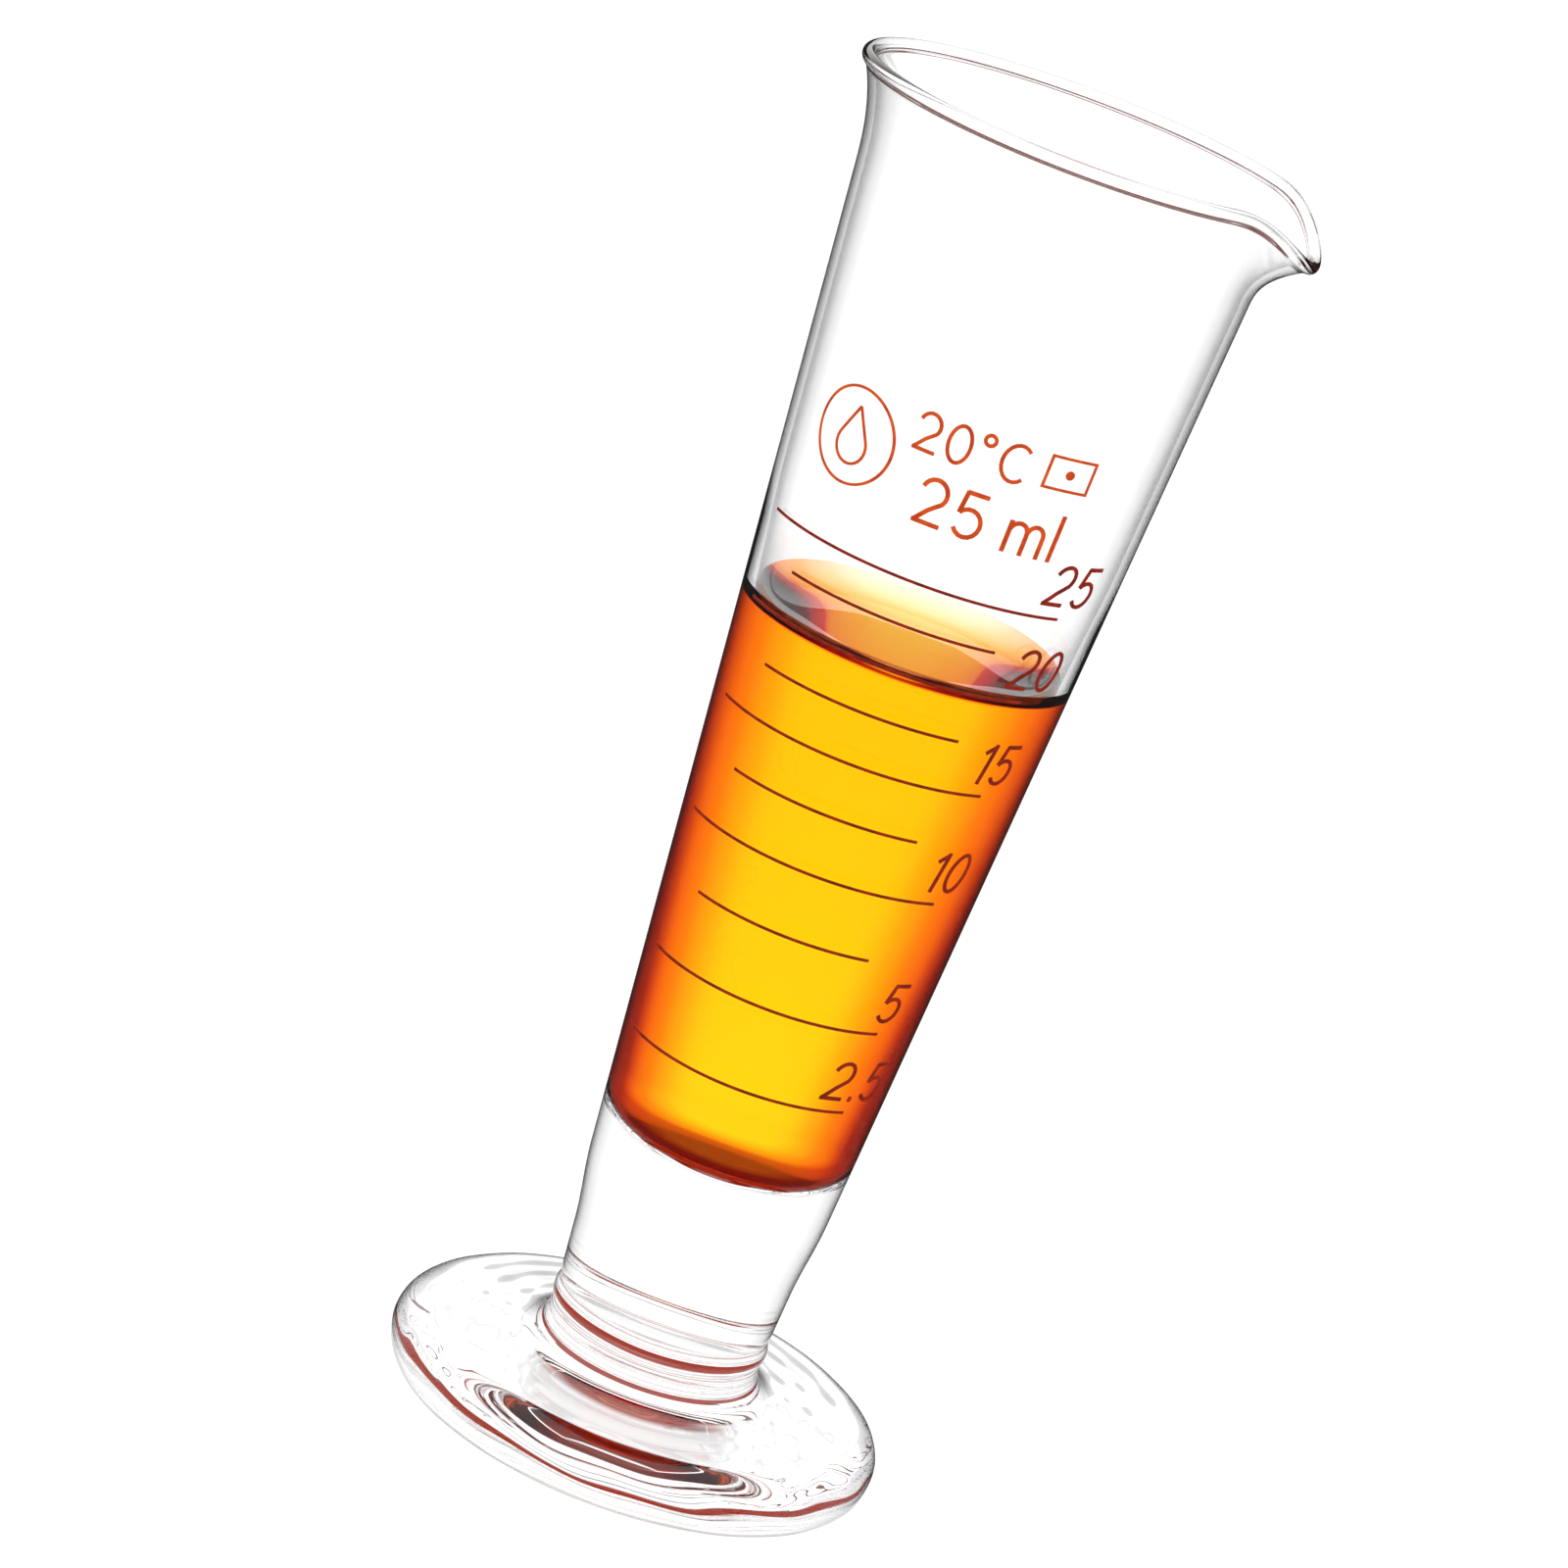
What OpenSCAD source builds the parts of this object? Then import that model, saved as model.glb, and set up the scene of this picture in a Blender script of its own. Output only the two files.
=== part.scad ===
// Conical footed measuring glass of 25 ml, with a pouring lip and an enamelled scale.
// Millimetres. The axis is Z, the resting plane is Z = 0, the spout points to +X
// and the scale faces -Y.

/* [Glass wall] */
// Height of the rim above the resting plane, at the side opposite the spout
rim_z = 123; // [121:0.5:126]
// Radius that the straight outer wall would reach at the resting plane
cone_r0 = 9.22; // [9.1:0.02:9.5]
// Growth of the outer radius per millimetre of height
cone_slope = 0.073; // [0.071:0.001:0.076]
// Height where the straight wall ends and the lip starts
lip_z = 113; // [110:0.5:115]
// Wall thickness from the top graduation upwards
wall_top = 0.75; // [0.7:0.05:0.9]
// Wall thickness at the cavity floor
wall_floor = 2.5; // [2.3:0.05:2.6]
// Height at which the wall has thinned to its upper thickness
thin_z = 85; // [84.5:0.5:88]
// Height of the cavity floor above the resting plane
floor_z = 27.2; // [26.8:0.1:27.6]
// Radius of the corner between the wall and the floor
floor_corner_r = 3; // [2:0.5:4]

/* [Rim and spout] */
// Outer radius of the beaded rim, away from the spout
rim_r = 20; // [19.4:0.1:20.6]
// Radius of the fire-polished bead along the rim
bead_r = 0.6; // [0.5:0.05:0.7]
// How far the spout reaches beyond the round rim
spout_reach = 2.2; // [1.8:0.1:3]
// How far the spout's tip drops below the rim
spout_drop = 3.5; // [2.4:0.1:3.8]
// Half of the angle that the spout takes up in plan
spout_half_a = 40; // [36:1:48]
// How much lower the rim is at the spout's side
rim_dip = 0.6; // [0:0.1:1]

/* [Neck and stem joint] */
// Height where the conical wall starts to draw in towards the neck
neck_top_z = 24; // [22:0.5:26]
// Height over which the wall draws in
neck_ease_h = 7; // [5:0.5:9]
// How far the neck lies inside the line of the cone
neck_draw_in = 0.38; // [0.2:0.02:0.6]
// Height of the lower face of the vessel's solid base
base_z = 11.7; // [11.3:0.1:12.2]
// Height of the foot's hub, where the stem joint starts
hub_z = 9.5; // [9:0.1:10]
// Radius of the hub and of the stem joint's faces
hub_r = 9.7; // [9.4:0.05:10]
// How far the stem joint bulges beyond the hub
joint_bulge = 0.2; // [0.1:0.05:0.4]
// Radius of the softened edges at the fused seams
seam_round_r = 0.35; // [0.2:0.05:0.5]

/* [Foot] */
// Largest radius of the foot
foot_r = 22.4; // [22:0.1:23]
// Height of the foot's widest circle
foot_edge_z = 3.2; // [3:0.1:3.4]
// Thickness of the foot at its rounded edge
foot_edge_h = 6.2; // [5.9:0.1:6.4]
// Height of the foot's upper face where the fillet starts
foot_top_z = 6.6; // [6.5:0.1:6.9]
// Radius where the fillet around the hub starts
fillet_r = 12.6; // [12:0.1:13.5]
// Inner radius of the flat resting ring
ring_in_r = 15.5; // [14:0.5:16.5]
// Outer radius of the flat resting ring
ring_out_r = 19.4; // [18.8:0.1:19.8]
// Depth of the hollow under the foot
recess_h = 0.15; // [0.1:0.05:0.4]

/* [Scale] */
// Thickness of the fired enamel film
film_h = 0.1; // [0.06:0.01:0.15]
// Width of a graduation line
line_w = 0.25; // [0.2:0.05:0.5]
// Half of the angle that a 5 ml line covers
long_half_a = 55; // [50:1:64]
// Half of the angle that a line between two 5 ml lines covers
short_half_a = 37; // [30:0.5:48]
// Height of the numerals beside the lines
numeral_h = 3.8; // [3:0.1:4]
// Height from a line to the middle of its numeral
numeral_rise = 3; // [2.6:0.1:3.2]
// Angle from the scale's middle to the numerals' middle
numeral_a = 56.6; // [52:0.2:62]
// Stroke width of the letters, as a share of their height
stroke_share = 0.092; // [0.07:0.002:0.12]
// Lean of the numerals
slant_a = 10; // [0:1:14]

/* [Inscriptions] */
// Height of the middle of the capacity inscription
capacity_z = 91.6; // [90.5:0.1:92.5]
// Angle of the middle of the capacity inscription
capacity_a = 20; // [10:1:24]
// Letter height of the capacity inscription
capacity_h = 4.2; // [3.6:0.1:4.4]
// Height of the middle of the temperature inscription
temperature_z = 97; // [96.8:0.1:99]
// Angle of the middle of the temperature inscription
temperature_a = 8; // [2:1:10]
// Letter height of the temperature inscription
temperature_h = 3.5; // [3:0.1:3.8]
// Height of the middle of the round emblem
emblem_z = 94; // [93:0.1:97]
// Angle of the middle of the round emblem
emblem_a = -29; // [-34:1:-25]
// Outer radius of the round emblem
emblem_r = 4.2; // [3.5:0.1:4.4]
// Height of the middle of the inspection mark
mark_z = 97.2; // [97:0.1:99]
// Angle of the middle of the inspection mark
mark_a = 38; // [36:1:44]
// Width of the inspection mark's box
mark_w = 4.4; // [3:0.1:4.8]
// Height of the inspection mark's box
mark_h = 3; // [2.4:0.1:3.6]
// Stroke width of the emblem and the inspection mark
mark_stroke_w = 0.24; // [0.2:0.02:0.4]

/* [Hidden] */
$fn = 96;

// Growth of the cavity's radius per millimetre of height, below thin_z
cavity_slope = cone_slope + (wall_floor - wall_top) / (thin_z - floor_z);
// Volume that the rounded corner takes from the flat-bottomed cavity
corner_ml = (1 - PI / 4) * pow(floor_corner_r, 2)
    * 2 * PI * (cavity_r(floor_z) - 0.223 * floor_corner_r) / 1000;
// Number of straight pieces that a rounded part of a profile is drawn with
arc_steps = 10;
// Stations around the lip, and along its wall and its bead
lip_sides = 96;
lip_wall_steps = 8;
lip_bead_steps = 8;
// The bead covers this angle to each side of the wall's direction
bead_cover_a = 125;
// Share of the lip's height at which the bead takes over from the wall
lip_wall_end = 0.92;
// Exponent of the lip's outward curve
flare_power = 2.6;
// Gap between two letters, as a share of their height
letter_gap = 0.16;

glass_colour = [0.86, 0.93, 0.94, 0.45];
foot_colour = [0.80, 0.90, 0.91, 0.6];
enamel_colour = [0.75, 0.25, 0.08];

// ---- Shared formulas ----

// Outer radius of the straight wall at a height
function wall_r(z) = cone_r0 + cone_slope * z;

// Wall thickness at a height
function wall_t(z) =
    z >= thin_z ? wall_top : wall_top + (wall_floor - wall_top) * (thin_z - z) / (thin_z - floor_z);

// Radius of the cavity at a height
function cavity_r(z) = wall_r(z) - wall_t(z);

// Height of the liquid's surface for a volume in millilitres
function mark_height(ml) =
    let (cube = pow(cavity_r(floor_z), 3) + 3 * cavity_slope * 1000 * (ml + corner_ml) / PI)
    floor_z + (pow(cube, 1 / 3) - cavity_r(floor_z)) / cavity_slope;

// Ease from 0 to 1 with level ends
function ease(t) = let (c = min(max(t, 0), 1)) c * c * (3 - 2 * c);

// Outer radius of the vessel at a height, with the drawn-in neck
function neck_r(z) = wall_r(z) - neck_draw_in * ease((neck_top_z - z) / neck_ease_h);

// Points of an elliptical arc
function arc(centre, rx, ry, from, to, steps = arc_steps) = [
    for (i = [0:steps])
        let (a = from + (to - from) * i / steps)
        centre + [rx * cos(a), ry * sin(a)]
];

// ---- Glass ----

module vessel() {
    neck_steps = 8;
    corner_r = floor_corner_r;
    corner_z = floor_z + corner_r;
    base_r = neck_r(base_z);
    low_z = base_z + seam_round_r;
    color(glass_colour)
        rotate_extrude()
            polygon(concat(
                [[0, base_z]],
                arc([base_r - seam_round_r, low_z], seam_round_r, seam_round_r, -90, 0, 4),
                [for (i = [1:neck_steps])
                    let (z = low_z + (neck_top_z - low_z) * i / neck_steps)
                    [neck_r(z), z]],
                [[wall_r(lip_z), lip_z], [cavity_r(lip_z), lip_z], [cavity_r(thin_z), thin_z]],
                arc([cavity_r(corner_z) - corner_r, corner_z], corner_r, corner_r, 0, -90),
                [[0, floor_z]]
            ));
}

// How strongly the spout shows at an angle from its middle: 1 at the tip, 0 on the round rim
function spout_share(a) =
    abs(a) >= spout_half_a ? 0 : pow(cos(90 * a / spout_half_a), 2.2);

// Middle of the lip's wall, as radius and height; s runs from 0 at the vessel to 1 at the rim
function lip_middle(a, s) =
    let (
        share = spout_share(a),
        top_z = rim_z - bead_r - rim_dip * (1 + cos(a)) / 2 - spout_drop * pow(share, 1.2),
        z = lip_z + (top_z - lip_z) * s,
        straight_r = wall_r(z) - wall_top / 2,
        flare = rim_r - bead_r - (wall_r(rim_z - bead_r) - wall_top / 2) + spout_reach * share
    )
    [straight_r + flare * pow(s, flare_power), z];

// Unit vector along the lip's wall, from the vessel to the rim
function lip_along(a, s) =
    let (d = lip_middle(a, s) - lip_middle(a, s - 0.02))
    d / norm(d);

// Point beside the middle of the wall; side is 1 outside and -1 inside
function lip_wall_point(a, s, side) =
    let (
        along = s == 0 ? [0, 1] : lip_along(a, s),
        outward = [along[1], -along[0]]
    )
    lip_middle(a, s) + side * wall_top / 2 * outward;

// Point on the bead; b is measured from the wall's direction, positive outside
function bead_point(a, b) =
    let (
        along = lip_along(a, 1),
        outward = [along[1], -along[0]]
    )
    lip_middle(a, 1) + bead_r * (cos(b) * along + sin(b) * outward);

// Closed section of the lip at an angle, outside first
function lip_section(a) = concat(
    [for (i = [0:lip_wall_steps]) lip_wall_point(a, lip_wall_end * i / lip_wall_steps, 1)],
    [for (i = [0:lip_bead_steps]) bead_point(a, bead_cover_a * (1 - 2 * i / lip_bead_steps))],
    [for (i = [lip_wall_steps:-1:0]) lip_wall_point(a, lip_wall_end * i / lip_wall_steps, -1)]
);

module pouring_lip() {
    section_n = 2 * (lip_wall_steps + 1) + lip_bead_steps + 1;
    points = [
        for (i = [0:lip_sides - 1])
            let (a = 360 * i / lip_sides, turn = a > 180 ? a - 360 : a)
            for (p = lip_section(turn)) [p[0] * cos(a), p[0] * sin(a), p[1]]
    ];
    faces = [
        for (i = [0:lip_sides - 1], j = [0:section_n - 1])
            let (next_i = (i + 1) % lip_sides, next_j = (j + 1) % section_n)
            [i * section_n + j, i * section_n + next_j, next_i * section_n + next_j, next_i * section_n + j]
    ];
    color(glass_colour)
        polyhedron(points = points, faces = faces, convexity = 6);
}

module stem_joint() {
    mid_z = (base_z + hub_z) / 2;
    half_h = (base_z - hub_z) / 2;
    color(foot_colour)
        rotate_extrude()
            polygon(concat(
                [[0, hub_z]],
                arc([hub_r - seam_round_r, mid_z], seam_round_r + joint_bulge, half_h, -90, 90),
                [[0, base_z]]
            ));
}

module foot() {
    hollow_r = (pow(ring_in_r, 2) + pow(recess_h, 2)) / (2 * recess_h);
    hollow_a = asin(ring_in_r / hollow_r);
    lower_rx = foot_r - ring_out_r;
    upper_r = foot_edge_h - foot_edge_z;
    color(foot_colour)
        rotate_extrude()
            polygon(concat(
                arc([0, recess_h - hollow_r], hollow_r, hollow_r, 90, 90 - hollow_a),
                arc([ring_out_r, foot_edge_z], lower_rx, foot_edge_z, -90, 0),
                arc([foot_r - upper_r, foot_edge_z], upper_r, upper_r, 9, 90),
                arc([fillet_r, hub_z], fillet_r - hub_r, hub_z - foot_top_z, 270, 180),
                [[0, hub_z]]
            ));
}

// ---- Enamel ----

// Section of a film on the outside of the wall between two heights
module skin_section(low_z, high_z) {
    polygon([
        [wall_r(low_z), low_z], [wall_r(low_z) + film_h, low_z],
        [wall_r(high_z) + film_h, high_z], [wall_r(high_z), high_z]
    ]);
}

// One line of the scale
module graduation(ml, half_a) {
    z = mark_height(ml);
    low_z = z - line_w / 2;
    high_z = z + line_w / 2;
    color(enamel_colour)
        rotate([0, 0, -90 - half_a])
            rotate_extrude(angle = 2 * half_a)
                skin_section(low_z, high_z);
}

// Places a flat drawing on the wall at an angle from the scale's middle, cut to the skin
module on_wall(angle, z, reach) {
    intersection() {
        rotate_extrude()
            skin_section(z - reach, z + reach);
        rotate([0, 0, angle])
            translate([0, -wall_r(z), z])
                rotate([90, 0, 0])
                    linear_extrude(height = 3, center = true)
                        children();
    }
}

// Direction of a path at one of its points
function path_dir(path, i) =
    let (d = path[min(i + 1, len(path) - 1)] - path[max(i - 1, 0)])
    d / norm(d);

// A path moved sideways
function beside(path, shift) = [
    for (i = [0:len(path) - 1])
        let (d = path_dir(path, i))
        path[i] + shift * [-d[1], d[0]]
];

function reversed(list) = [for (i = [len(list) - 1:-1:0]) list[i]];

// A smooth path drawn with a pen
module pen(path, pen_w) {
    polygon(concat(beside(path, pen_w / 2), reversed(beside(path, -pen_w / 2))));
}

// Letters are drawn on a grid where 1 is the letter height: [width, list of paths]
digit_w = 0.62;
function glyph_0() = [digit_w, [
    arc([0.31, 0.5], 0.27, 0.46, -100, 100, 14), arc([0.31, 0.5], 0.27, 0.46, 80, 280, 14)
]];
function glyph_1() = [0.34, [[[0.04, 0.76], [0.26, 0.95]], [[0.26, 0], [0.26, 1]]]];
function glyph_2() = [digit_w, [
    concat(arc([0.3, 0.68], 0.26, 0.28, 165, -35, 12), [[0.28, 0.32], [0.06, 0.06]]),
    [[0.01, 0.05], [0.59, 0.05]]
]];
function glyph_5() = [digit_w, [
    [[0.12, 0.95], [0.57, 0.95]], [[0.14, 0.97], [0.08, 0.5]],
    arc([0.3, 0.33], 0.27, 0.29, 142, -150, 14)
]];
function glyph_point() = [0.14, [[[0.07, 0], [0.07, 0.13]]]];
function glyph_degree() = [0.36, [
    arc([0.19, 0.84], 0.13, 0.13, -100, 100), arc([0.19, 0.84], 0.13, 0.13, 80, 280)
]];
function glyph_c() = [0.78, [arc([0.42, 0.5], 0.36, 0.46, 48, 312, 16)]];
function glyph_space() = [0.14, []];
function glyph_m() = [0.86, [
    [[0.06, 0], [0.06, 0.68]],
    concat(arc([0.25, 0.45], 0.19, 0.2, 170, 0), [[0.44, 0.2], [0.44, 0]]),
    concat(arc([0.62, 0.45], 0.18, 0.2, 170, 0), [[0.8, 0.2], [0.8, 0]])
]];
function glyph_l() = [0.14, [[[0.07, 0], [0.07, 1]]]];

// A path at its real size, leaning to the right, with its middle height at 0
function set_path(path, height, lean_a) = [
    for (p = path) height * [p[0] + (p[1] - 0.5) * tan(lean_a), p[1] - 0.5]
];

// Width of the first letters of a line, as a share of the letter height
function line_length(glyphs, count) =
    count == 0 ? 0 : line_length(glyphs, count - 1) + glyphs[count - 1][0] + letter_gap;

// A line of letters around the wall, each letter turned to face outwards
module lettering(glyphs, height, angle, z, lean_a = 0) {
    half = (line_length(glyphs, len(glyphs)) - letter_gap) / 2;
    color(enamel_colour)
        for (i = [0:len(glyphs) - 1])
            if (len(glyphs[i][1]) > 0) {
                width = glyphs[i][0];
                arc_x = (line_length(glyphs, i) + width / 2 - half) * height;
                on_wall(angle + arc_x / wall_r(z) * 180 / PI, z, height)
                    translate([-width / 2 * height, 0])
                        for (path = glyphs[i][1])
                            pen(set_path(path, height, lean_a), stroke_share * height);
            }
}

// The numeral of a 5 ml line, just above the line's end
module numeral(glyphs, ml) {
    lettering(glyphs, numeral_h, numeral_a, mark_height(ml) + numeral_rise, slant_a);
}

module grad_line_2_5() { graduation(2.5, long_half_a); }
module grad_line_5() { graduation(5, long_half_a); }
module grad_line_7_5() { graduation(7.5, short_half_a); }
module grad_line_10() { graduation(10, long_half_a); }
module grad_line_12_5() { graduation(12.5, short_half_a); }
module grad_line_15() { graduation(15, long_half_a); }
module grad_line_17_5() { graduation(17.5, short_half_a); }
module grad_line_20() { graduation(20, long_half_a); }
module grad_line_22_5() { graduation(22.5, short_half_a); }
module grad_line_25() { graduation(25, long_half_a); }

module numeral_2_5() { numeral([glyph_2(), glyph_point(), glyph_5()], 2.5); }
module numeral_5() { numeral([glyph_5()], 5); }
module numeral_10() { numeral([glyph_1(), glyph_0()], 10); }
module numeral_15() { numeral([glyph_1(), glyph_5()], 15); }
module numeral_20() { numeral([glyph_2(), glyph_0()], 20); }
module numeral_25() { numeral([glyph_2(), glyph_5()], 25); }

module capacity_inscription() {
    glyphs = [glyph_2(), glyph_5(), glyph_space(), glyph_m(), glyph_l()];
    lettering(glyphs, capacity_h, capacity_a, capacity_z);
}

module temperature_inscription() {
    glyphs = [glyph_2(), glyph_0(), glyph_degree(), glyph_c()];
    lettering(glyphs, temperature_h, temperature_a, temperature_z);
}

// Plain ring around the outline of a drop
module round_emblem() {
    drop_r = emblem_r * 0.38;
    drop_centre = [0, -emblem_r * 0.2];
    drop_tip = [0, emblem_r * 0.6];
    flank_a = 32;
    color(enamel_colour)
        on_wall(emblem_a, emblem_z, emblem_r + 1) {
            difference() {
                circle(r = emblem_r);
                circle(r = emblem_r - mark_stroke_w);
            }
            pen(concat([drop_tip], arc(drop_centre, drop_r, drop_r, 180 - flank_a, 270)), mark_stroke_w);
            pen(concat(arc(drop_centre, drop_r, drop_r, 270, 360 + flank_a), [drop_tip]), mark_stroke_w);
        }
}

// Plain box with a dot
module inspection_mark() {
    dot_r = 0.4;
    color(enamel_colour)
        on_wall(mark_a, mark_z, mark_h) {
            difference() {
                square([mark_w, mark_h], center = true);
                square([mark_w - 2 * mark_stroke_w, mark_h - 2 * mark_stroke_w], center = true);
            }
            circle(r = dot_r);
        }
}

vessel();
pouring_lip();
stem_joint();
foot();
grad_line_2_5();
grad_line_5();
grad_line_7_5();
grad_line_10();
grad_line_12_5();
grad_line_15();
grad_line_17_5();
grad_line_20();
grad_line_22_5();
grad_line_25();
numeral_2_5();
numeral_5();
numeral_10();
numeral_15();
numeral_20();
numeral_25();
capacity_inscription();
temperature_inscription();
round_emblem();
inspection_mark();
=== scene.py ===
"""Looks of the footed conical measuring glass: clear glass, fired enamel scale and an amber liquid."""
import math

import bpy
from mathutils import Matrix, Vector


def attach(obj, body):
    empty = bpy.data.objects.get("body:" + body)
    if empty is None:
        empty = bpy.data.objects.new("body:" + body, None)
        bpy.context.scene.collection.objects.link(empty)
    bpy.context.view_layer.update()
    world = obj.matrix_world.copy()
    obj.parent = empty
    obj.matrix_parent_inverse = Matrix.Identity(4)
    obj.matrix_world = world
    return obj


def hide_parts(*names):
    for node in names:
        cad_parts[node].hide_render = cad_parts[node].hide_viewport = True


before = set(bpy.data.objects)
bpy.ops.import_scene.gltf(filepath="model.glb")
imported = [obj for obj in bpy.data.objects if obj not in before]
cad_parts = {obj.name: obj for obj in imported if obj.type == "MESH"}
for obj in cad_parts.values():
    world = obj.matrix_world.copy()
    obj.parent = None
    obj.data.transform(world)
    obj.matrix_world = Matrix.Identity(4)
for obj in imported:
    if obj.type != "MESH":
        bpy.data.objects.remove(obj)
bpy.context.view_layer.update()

MM = 0.001
BODY = "root"

# ---- Glass dimensions, in millimetres, as the CAD has them ----
RIM_Z = 123.0
CONE_R0 = 9.22
CONE_SLOPE = 0.073
LIP_Z = 113.0
WALL_TOP = 0.75
WALL_FLOOR = 2.5
THIN_Z = 85.0
FLOOR_Z = 27.2
FLOOR_CORNER_R = 3.0
RIM_R = 20.0
BEAD_R = 0.6
SPOUT_REACH = 2.2
SPOUT_DROP = 3.5
SPOUT_HALF_A = 40.0
SPOUT_POINT = 2.2
SPOUT_DROP_POWER = 1.2
RIM_DIP = 0.6
FLARE_POWER = 2.6
NECK_TOP_Z = 24.0
NECK_EASE_H = 7.0
NECK_DRAW_IN = 0.38
BASE_Z = 11.7
HUB_Z = 9.5
HUB_R = 9.7
JOINT_BULGE = 0.2
SEAM_ROUND_R = 0.35
FOOT_R = 22.4
FOOT_EDGE_Z = 3.2
FOOT_EDGE_H = 6.2
FOOT_TOP_Z = 6.6
FILLET_R = 12.6
RING_IN_R = 15.5
RING_OUT_R = 19.4
RECESS_H = 0.15

# ---- Mesh fineness ----
TURN_STEPS = 256
LIP_WALL_STEPS = 34
LIP_BEAD_STEPS = 22
BEAD_COVER_A = 125.0
LIP_WALL_END = 0.94

# ---- Liquid ----
LIQUID_Z = 75.0
MENISCUS_CLIMB = 2.2
MENISCUS_REACH = 1.5
# Crowds the rings of the open surface towards its edge
MENISCUS_CROWDING = 2.4
# Distance from the liquid's skin to the wetted glass, which only keeps the two surfaces apart
LIQUID_GAP = 0.01

# ---- Refraction ----
GLASS_IOR = 1.51
LIQUID_IOR = 1.34


def wall_r(z):
    """Outer radius of the straight wall at a height."""
    return CONE_R0 + CONE_SLOPE * z


def wall_t(z):
    """Wall thickness at a height."""
    thinned = max(THIN_Z - z, 0.0) / (THIN_Z - FLOOR_Z)
    return WALL_TOP + (WALL_FLOOR - WALL_TOP) * thinned


def cavity_r(z):
    """Radius of the cavity at a height above its floor corner."""
    return wall_r(z) - wall_t(z)


def ease(t):
    """From 0 to 1 with level ends."""
    c = min(max(t, 0.0), 1.0)
    return c * c * (3 - 2 * c)


def neck_r(z):
    """Outer radius of the vessel at a height, with the drawn-in neck."""
    return wall_r(z) - NECK_DRAW_IN * ease((NECK_TOP_Z - z) / NECK_EASE_H)


def arc(cx, cz, rx, rz, start, end, steps):
    """Points of an elliptical arc in a section, angles in degrees."""
    angles = [math.radians(start + (end - start) * i / steps) for i in range(steps + 1)]
    return [(cx + rx * math.cos(a), cz + rz * math.sin(a)) for a in angles]


def line(start, end, steps):
    """Points on a straight stretch of a section, without the last one."""
    return [
        (start[0] + (end[0] - start[0]) * i / steps, start[1] + (end[1] - start[1]) * i / steps)
        for i in range(steps)
    ]


# ---- Mesh making ----


def make_piece(name, rings, materials, slot_of_row=None, closed=False):
    """A piece from rings of points, each (TURN_STEPS, 3) in millimetres or one point on the axis.

    slot_of_row gives the material slot of the faces between ring i and ring i + 1.
    closed joins the last ring to the first.
    """
    verts, starts, sizes = [], [], []
    for ring in rings:
        starts.append(sum(sizes))
        sizes.append(len(ring))
        verts.extend(ring)
    faces, slots = [], []
    count = len(rings)
    for row in range(count if closed else count - 1):
        after = (row + 1) % count
        a, b = starts[row], starts[after]
        n_a, n_b = sizes[row], sizes[after]
        slot = slot_of_row(row) if slot_of_row else 0
        for i in range(TURN_STEPS):
            j = (i + 1) % TURN_STEPS
            if n_a == 1:
                face = (a, b + j, b + i)
            elif n_b == 1:
                face = (a + i, a + j, b)
            else:
                face = (a + i, a + j, b + j, b + i)
            faces.append(face)
            slots.append(slot)
    mesh = bpy.data.meshes.new(name)
    mesh.from_pydata([tuple(c * MM for c in v) for v in verts], [], faces)
    mesh.polygons.foreach_set("material_index", slots)
    mesh.polygons.foreach_set("use_smooth", [True] * len(faces))
    for material in materials:
        mesh.materials.append(material)
    mesh.update()
    piece = bpy.data.objects.new(name, mesh)
    bpy.context.scene.collection.objects.link(piece)
    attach(piece, BODY)
    return piece


def turned_ring(r, z, shift=None):
    """Ring of a turned shape. shift(x, y, z) gives a small outward and upward change."""
    if r < 1e-6:
        return [(0.0, 0.0, z)]
    ring = []
    for i in range(TURN_STEPS):
        a = 2 * math.pi * i / TURN_STEPS
        x, y = r * math.cos(a), r * math.sin(a)
        out, up = shift(x, y, z) if shift else (0.0, 0.0)
        ring.append((x * (1 + out / r), y * (1 + out / r), z + up))
    return ring


# ---- Materials ----

# Face attribute of the liquid, 1 on its open surface and 0 where it wets the glass
OPENNESS = "openness"
# Painted shade on clear glass, by how slantwise it is crossed, which draws its edges darker
GLASS_PAINTED_SHADE = (
    (0.00, (1.0, 1.0, 1.0)),
    (0.50, (1.0, 1.0, 1.0)),
    (0.68, (0.70, 0.70, 0.71)),
    (0.80, (0.22, 0.22, 0.23)),
    (0.90, (0.04, 0.04, 0.04)),
    (1.00, (0.01, 0.01, 0.01)),
)
# Painted shade on the liquid's sides by how slantwise they are crossed, 0 for straight on and 1 for
# along it
LIQUID_PAINTED_SHADE = (
    (0.00, (1.0, 1.00, 0.9)),
    (0.10, (1.0, 0.90, 0.6)),
    (0.15, (1.0, 0.64, 0.3)),
    (0.25, (0.97, 0.30, 0.05)),
    (0.325, (0.88, 0.17, 0.03)),
    (0.375, (0.66, 0.07, 0.01)),
    (0.43, (0.40, 0.018, 0.004)),
    (1.0, (0.25, 0.01, 0.002)),
)
LIQUID_COLOUR = (0.998, 0.925, 0.0, 1)
# Absorption per metre
LIQUID_DENSITY = 290.0
# Waviness of the two glasses: features per metre, height in metres, stretch along each axis
BLOWN_WAVES = (45.0, 0.00001, (1, 1, 0.35))
PRESSED_WAVES = (160.0, 0.00002, (1, 1, 1))
# The enamel's uneven cover and its grain, in features per metre and metres
COVER_SCALE = 900.0
GRAIN_SCALE = 4000.0
GRAIN_STRENGTH = 0.4
GRAIN_HEIGHT = 0.00002


def new_material(name):
    """A material with its nodes and links."""
    material = bpy.data.materials.new(name)
    material.use_nodes = True
    return material, material.node_tree.nodes, material.node_tree.links


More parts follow.
